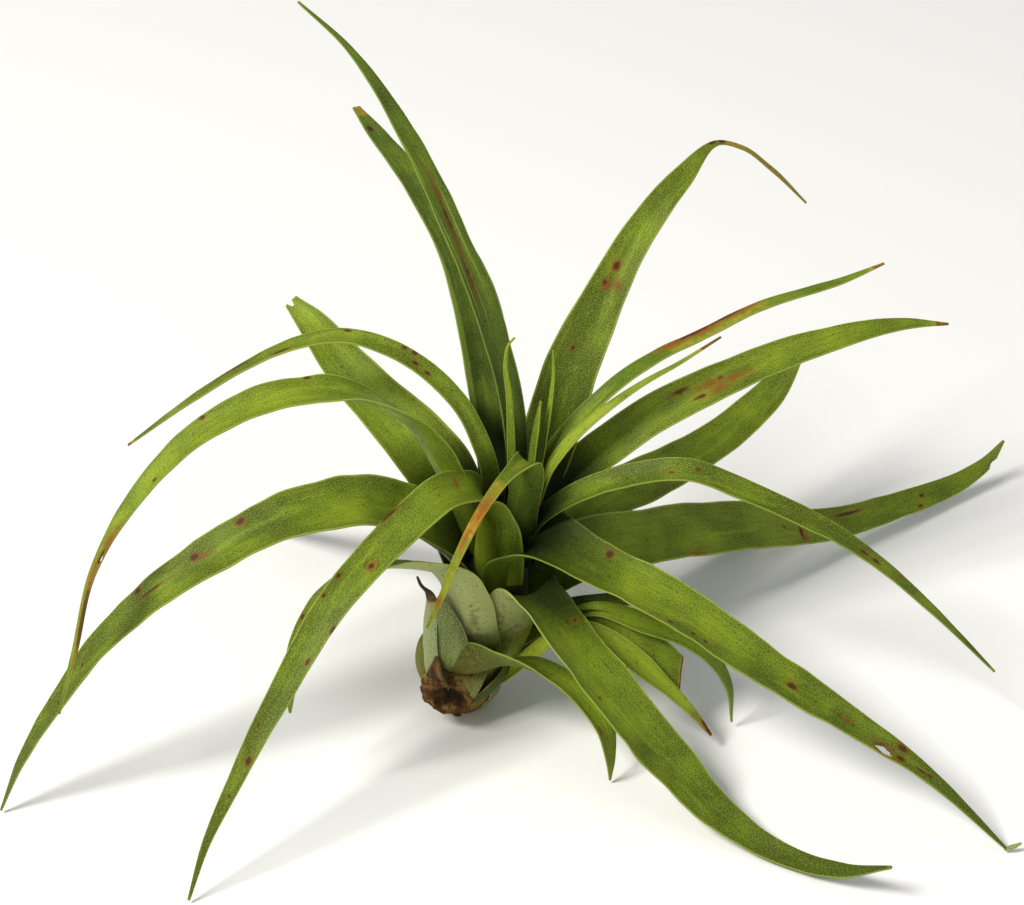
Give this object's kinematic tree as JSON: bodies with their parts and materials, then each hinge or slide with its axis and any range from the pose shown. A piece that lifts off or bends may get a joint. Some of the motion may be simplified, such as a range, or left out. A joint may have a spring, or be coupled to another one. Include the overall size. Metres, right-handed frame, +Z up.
{
  "type": "air plant",
  "caption": "Soft-leaved air plant lying as picked: a short leaning bulb and a loose rosette of long, tapering, channelled green leaves that arch out to all sides.",
  "frame": {"origin": "under the bulb, on the flat where the plant stands on the table", "axes": "+Z up from the table, +X towards the longest leaves on the right of the picture's view, +Y away from the picture's camera"},
  "size_m": [0.2275, 0.1492, 0.1427],
  "materials": {
    "fresh_blade": "living leaf blade, mid green with fine scales, soft satin",
    "shaded_blade": "older living leaf blade, deep olive green, soft satin",
    "aged_blade": "ageing leaf blade, yellow green with brown patches, satin",
    "pale_sheath": "pale grey-green leaf sheath covered in fine scales, matte",
    "dry_bark": "dry brown sheath remains and cut fibrous stem end, matte"
  },
  "bodies": {
    "root": {"stem": "dry_bark", "leaf_centre_folded": "aged_blade", "leaf_outer_left": "aged_blade", "leaf_outer_dry": "pale_sheath", "leaf_outer_front": "pale_sheath", "leaf_outer_right": "shaded_blade", "leaf_front_short": "fresh_blade", "leaf_front_right": "fresh_blade", "leaf_front_low": "fresh_blade", "leaf_left_broad": "fresh_blade", "leaf_right_long": "fresh_blade", "leaf_front_left": "fresh_blade", "leaf_right_arch": "fresh_blade", "leaf_left_high": "fresh_blade", "leaf_left_slender": "fresh_blade", "leaf_centre_a": "fresh_blade", "leaf_centre_b": "fresh_blade", "leaf_right_slender": "aged_blade", "leaf_right_hooked": "fresh_blade", "leaf_right_cut": "fresh_blade", "leaf_right_short": "aged_blade", "leaf_right_hidden": "shaded_blade", "leaf_right_high": "fresh_blade", "leaf_right_level": "fresh_blade", "leaf_right_small": "aged_blade", "leaf_centre_c": "fresh_blade", "leaf_right_tall": "fresh_blade", "leaf_back_tall": "shaded_blade", "leaf_back_blunt": "shaded_blade", "leaf_back_inner": "shaded_blade", "leaf_right_rear": "fresh_blade", "leaf_left_cut": "fresh_blade", "leaf_rear_left": "shaded_blade", "leaf_rear_right": "shaded_blade"}
  },
  "joints": []
}
